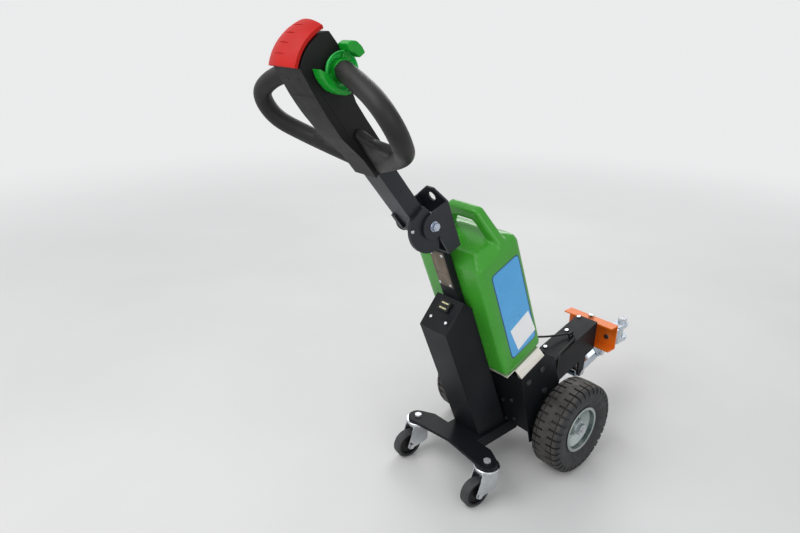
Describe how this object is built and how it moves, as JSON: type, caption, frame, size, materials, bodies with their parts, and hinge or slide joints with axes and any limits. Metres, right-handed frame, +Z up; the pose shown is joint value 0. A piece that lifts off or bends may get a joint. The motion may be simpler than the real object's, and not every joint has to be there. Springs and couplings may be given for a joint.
{
  "type": "walk-behind electric tug",
  "caption": "Walk-behind battery tug with driven wheels, swivel casters, a hinged tiller with looped grips, a lift-out battery and a tow hitch.",
  "frame": {"origin": "on the floor under the middle of the whole machine's length and width", "axes": "+X towards the tow hitch, +Y to the operator's left when facing the hitch, +Z up"},
  "size_m": [1.3422, 0.45, 1.1603],
  "materials": {
    "tyre": "matte rubber",
    "rim": "silver painted",
    "zinc": "bright zinc plate",
    "shaft": "ground steel",
    "caster_rubber": "matte grey",
    "black_plastic": "fine matte",
    "black_paint": "satin powder coat",
    "cast_grey": "as cast",
    "motor_grey": "satin",
    "bronze_plate": "satin",
    "stainless": "brushed",
    "battery_green": "glossy moulded",
    "orange": "gloss powder coat",
    "drawbar_zinc": "blue zinc plate",
    "cable_black": "smooth sheath",
    "grip_rubber": "soft touch",
    "head_plastic": "fine texture",
    "bush_bronze": "sintered",
    "green_plastic": "gloss",
    "red_plastic": "satin"
  },
  "bodies": {
    "chassis": {"swivel_bolts": "zinc", "swivel_races": "zinc", "chassis_bolts": "zinc", "small_screws": "zinc", "pivot_bolt": "zinc", "hitch_bolts": "zinc", "drawbar_bolts": "zinc", "charge_gauge": "black_plastic", "battery_contacts": "black_plastic", "cable_fittings": "black_plastic", "side_plate_left": "black_paint", "side_plate_right": "black_paint", "rear_panel": "black_paint", "front_panel": "black_paint", "deck_plate": "black_paint", "keel": "black_paint", "cover": "black_paint", "mast": "black_paint", "mast_bracket": "black_paint", "tow_arm": "black_paint", "transaxle": "cast_grey", "drive_motor": "motor_grey", "controller": "motor_grey", "type_plate": "bronze_plate", "battery_tray": "stainless", "push_channel": "orange", "drawbar_hanger": "drawbar_zinc", "drawbar": "drawbar_zinc", "tow_jaw": "drawbar_zinc", "cable": "cable_black"},
    "wheel_left": {"tyre_left": "tyre", "rim_left": "rim", "wheel_fasteners_left": "zinc", "axle_shaft_left": "shaft"},
    "wheel_right": {"tyre_right": "tyre", "rim_right": "rim", "wheel_fasteners_right": "zinc", "axle_shaft_right": "shaft"},
    "swivel_left": {"caster_fork_left": "zinc", "caster_axle_left": "zinc"},
    "swivel_right": {"caster_fork_right": "zinc", "caster_axle_right": "zinc"},
    "caster_left": {"caster_core_left": "black_plastic", "caster_tread_left": "caster_rubber"},
    "caster_right": {"caster_core_right": "black_plastic", "caster_tread_right": "caster_rubber"},
    "battery": {"battery": "battery_green"},
    "tiller": {"tiller_clevis": "black_paint", "pivot_bushes": "bush_bronze", "tiller_tube": "black_paint", "head_body": "head_plastic", "head_cover": "head_plastic", "head_screws": "zinc", "stop_screw": "zinc", "grips": "grip_rubber", "button_spring": "zinc"},
    "throttle": {"throttle_shaft": "shaft", "throttle_wings": "green_plastic"},
    "belly_button": {"belly_button": "red_plastic"},
    "tow_pin": {"tow_pin": "zinc"}
  },
  "joints": [
    {"name": "wheel_left_spin", "type": "hinge", "parent": "chassis", "child": "wheel_left", "pos_m": [0.09115, 0.1825, 0.13], "axis": [0, 1, 0], "continuous": true},
    {"name": "wheel_right_spin", "type": "hinge", "parent": "chassis", "child": "wheel_right", "pos_m": [0.09115, -0.1825, 0.13], "axis": [0, 1, 0], "continuous": true},
    {"name": "swivel_left_turn", "type": "hinge", "parent": "chassis", "child": "swivel_left", "pos_m": [-0.19685, 0.13, 0.1], "axis": [0, 0, 1], "continuous": true},
    {"name": "caster_left_roll", "type": "hinge", "parent": "swivel_left", "child": "caster_left", "pos_m": [-0.23151, 0.13487, 0.04], "axis": [0.1392, 0.9903, 0], "continuous": true},
    {"name": "swivel_right_turn", "type": "hinge", "parent": "chassis", "child": "swivel_right", "pos_m": [-0.19685, -0.13, 0.1], "axis": [0, 0, 1], "continuous": true},
    {"name": "caster_right_roll", "type": "hinge", "parent": "swivel_right", "child": "caster_right", "pos_m": [-0.23151, -0.12513, 0.04], "axis": [0.1392, 0.9903, 0], "continuous": true},
    {"name": "battery_lift", "type": "slide", "parent": "chassis", "child": "battery", "axis": [0, 0, 1], "range_m": [0, 0.3]},
    {"name": "tiller_tilt", "type": "hinge", "parent": "chassis", "child": "tiller", "pos_m": [-0.33509, 0, 0.75334], "axis": [0, 1, 0], "range_deg": [-40, 28]},
    {"name": "throttle_turn", "type": "hinge", "parent": "tiller", "child": "throttle", "pos_m": [-0.57675, 0, 1.07879], "axis": [0, 1, 0], "range_deg": [-25, 25], "stiffness_Nm_per_rad": 0.6},
    {"name": "belly_press", "type": "slide", "parent": "tiller", "child": "belly_button", "axis": [0.7604, 0, -0.6494], "range_m": [0, 0.004], "stiffness_N_per_m": 900, "deforming": ["button_spring"]},
    {"name": "tow_pin_lift", "type": "slide", "parent": "chassis", "child": "tow_pin", "axis": [0, 0, 1], "range_m": [0, 0.12]}
  ]
}
